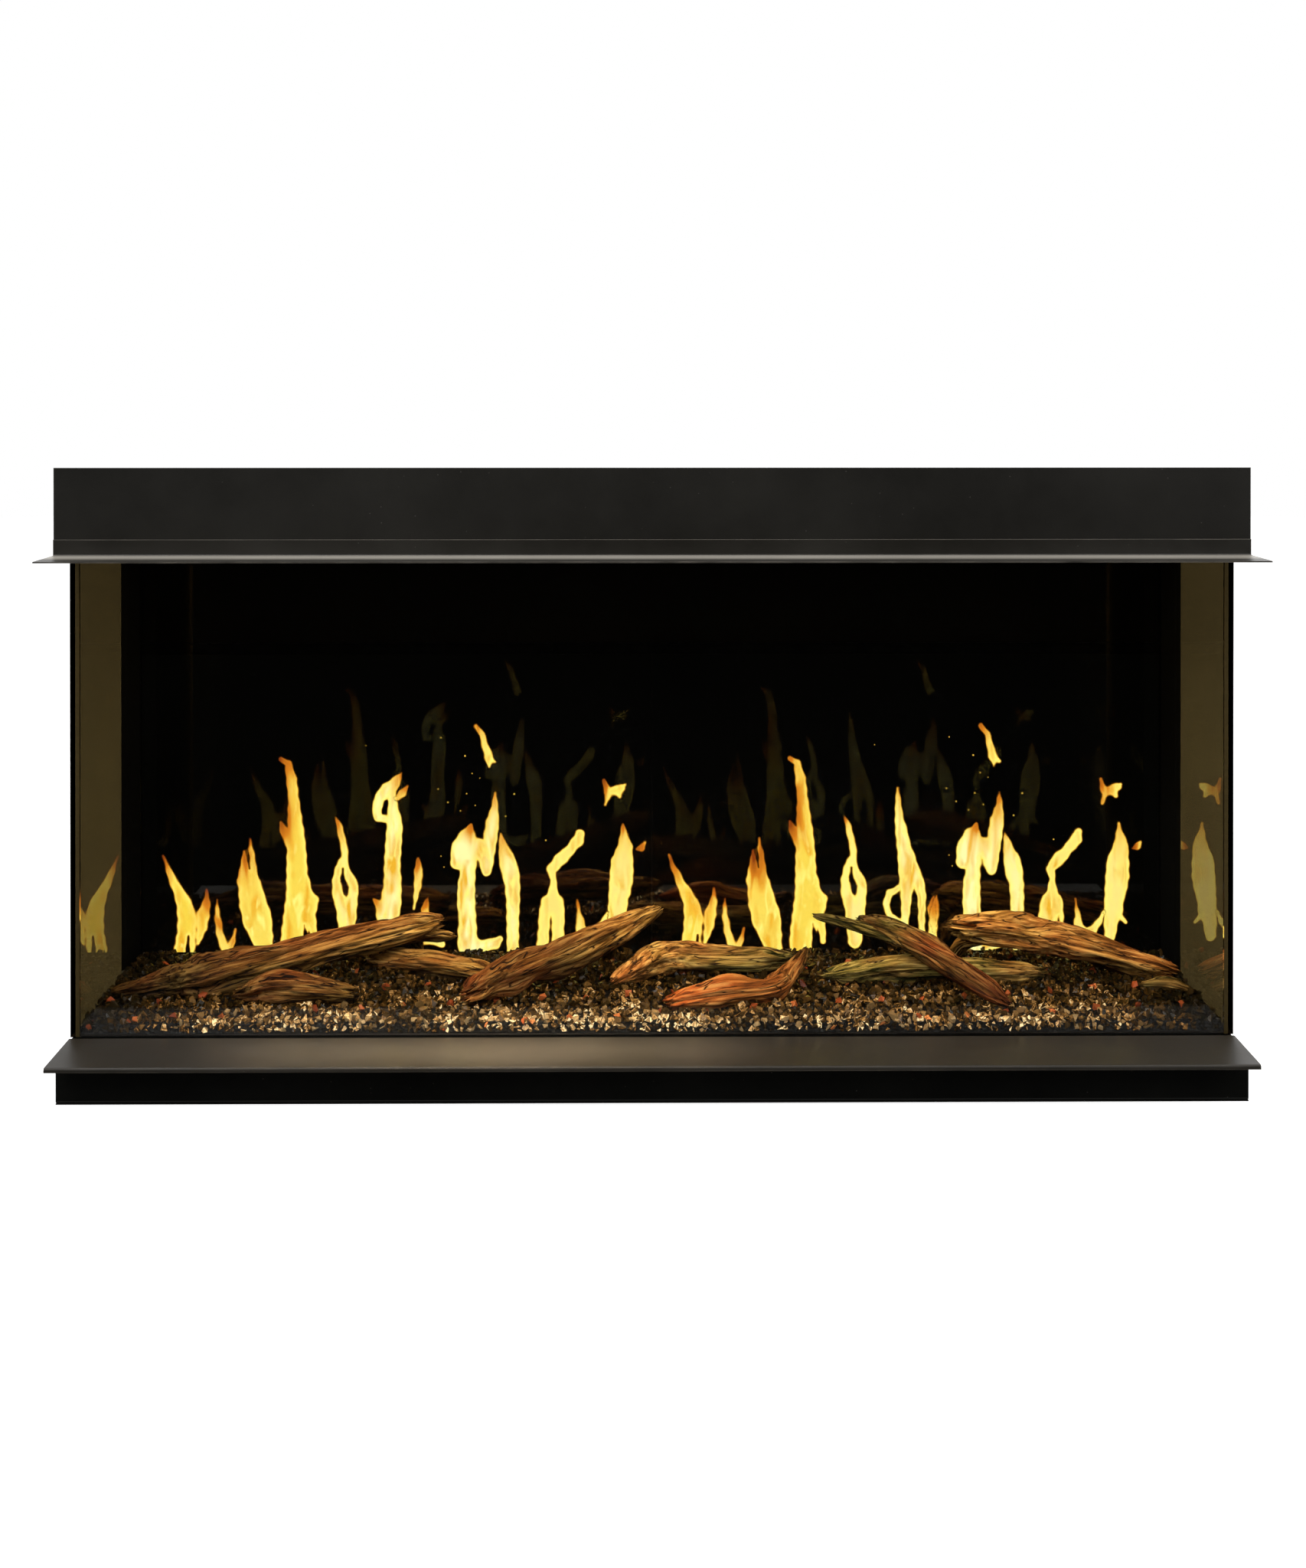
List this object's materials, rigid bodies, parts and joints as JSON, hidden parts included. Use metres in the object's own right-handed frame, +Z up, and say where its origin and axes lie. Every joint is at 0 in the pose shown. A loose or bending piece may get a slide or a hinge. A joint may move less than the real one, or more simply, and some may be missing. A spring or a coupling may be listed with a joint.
{
  "type": "three-sided electric fireplace",
  "caption": "Built-in electric fireplace with a glass front and glass sides, a black header and base, driftwood on lit crushed glass, flame screens behind and a fan heater above.",
  "frame": {"origin": "on the floor under the middle of the whole object, the middle of its bounding box's bottom face", "axes": "+X to the right along the fireplace, +Y to the rear (the flames are seen looking along +Y), +Z up"},
  "size_m": [1.321, 0.415, 0.7037],
  "materials": {
    "casing_black": "black powder coat, fine satin grain",
    "trim_paint": "dark bronze satin paint, bright on its worn edges",
    "clear_glass": "clear tempered glass",
    "bronze_glass": "bronze-tinted tempered glass with polished edges",
    "dark_glass": "dark glossy cover glass",
    "seal_rubber": "black matte",
    "display_panel": "flat screen with a black frame and a steel back",
    "galvanised_steel": "zinc-coated sheet",
    "lamp_aluminium": "satin",
    "smoked_plastic": "smoked translucent sheet",
    "crushed_glass": "amber and smoke coloured chips, lit from below",
    "driftwood_brown": "weathered brown grain",
    "driftwood_red": "weathered red-brown grain",
    "driftwood_green": "weathered olive grain",
    "blower_black": "black anodised",
    "black_plastic": "fine moulded grain",
    "circuit_board": "green lacquered board with components"
  },
  "bodies": {
    "casing": {"base_pan": "casing_black", "base_front_rail": "casing_black", "base_left_end": "casing_black", "base_right_end": "casing_black", "rear_panel": "casing_black", "left_rear_post": "casing_black", "right_rear_post": "casing_black", "header_fascia": "casing_black", "header_left_end": "casing_black", "header_right_end": "casing_black", "header_cover": "casing_black", "firebox_ceiling": "casing_black", "soffit_strip": "casing_black", "top_trim_angle": "trim_paint", "front_ledge": "trim_paint", "left_side_glass": "bronze_glass", "right_side_glass": "bronze_glass", "front_lower_channel": "casing_black", "front_upper_channel": "casing_black", "left_glass_rest": "casing_black", "right_glass_rest": "casing_black", "left_corner_seal": "seal_rubber", "right_corner_seal": "seal_rubber", "display_cover_glass": "dark_glass", "flame_display_left": "display_panel", "flame_display_right": "display_panel", "display_rail_lower": "casing_black", "display_rail_upper": "casing_black", "tray_rail_front": "galvanised_steel", "tray_rail_rear": "galvanised_steel", "ember_light_bar": "lamp_aluminium", "ember_tray": "smoked_plastic", "crushed_glass": "crushed_glass", "log_short_left": "driftwood_brown", "log_left_rear": "driftwood_brown", "log_long_left": "driftwood_brown", "log_centre": "driftwood_green", "log_mid_left": "driftwood_brown", "log_red_front": "driftwood_red", "log_low_green": "driftwood_green", "log_diagonal": "driftwood_red", "log_big_right": "driftwood_brown", "log_small_right": "driftwood_green", "scroll_wall": "galvanised_steel", "tongue_wall": "galvanised_steel", "scroll_left_end": "galvanised_steel", "scroll_right_end": "galvanised_steel", "heating_element": "lamp_aluminium", "blower_motor": "galvanised_steel", "control_panel": "black_plastic", "control_board": "circuit_board", "power_supply": "galvanised_steel", "header_light_bar": "lamp_aluminium", "cable_gland": "black_plastic"},
    "front_pane": {"front_glass": "clear_glass"},
    "blower": {"blower_wheel": "blower_black"},
    "rocker": {"power_rocker": "black_plastic"},
    "key_flame": {"flame_key": "black_plastic"},
    "key_heat": {"heat_key": "black_plastic"},
    "key_light": {"light_key": "black_plastic"}
  },
  "joints": [
    {"name": "front_glass_lift", "type": "slide", "parent": "casing", "child": "front_pane", "axis": [0, 0, 1], "range_m": [0, 0.0135]},
    {"name": "blower_spin", "type": "hinge", "parent": "casing", "child": "blower", "pos_m": [0, -0.09515, 0.6547], "axis": [1, 0, 0], "continuous": true},
    {"name": "power_rock", "type": "hinge", "parent": "casing", "child": "rocker", "pos_m": [0.5435, -0.10515, 0.6082], "axis": [0, 1, 0], "range_deg": [-16, 0]},
    {"name": "flame_press", "type": "slide", "parent": "casing", "child": "key_flame", "axis": [0, 0, 1], "range_m": [0, 0.0015], "stiffness_N_per_m": 200, "springref_m": -0.001},
    {"name": "heat_press", "type": "slide", "parent": "casing", "child": "key_heat", "axis": [0, 0, 1], "range_m": [0, 0.0015], "stiffness_N_per_m": 200, "springref_m": -0.001},
    {"name": "light_press", "type": "slide", "parent": "casing", "child": "key_light", "axis": [0, 0, 1], "range_m": [0, 0.0015], "stiffness_N_per_m": 200, "springref_m": -0.001}
  ]
}
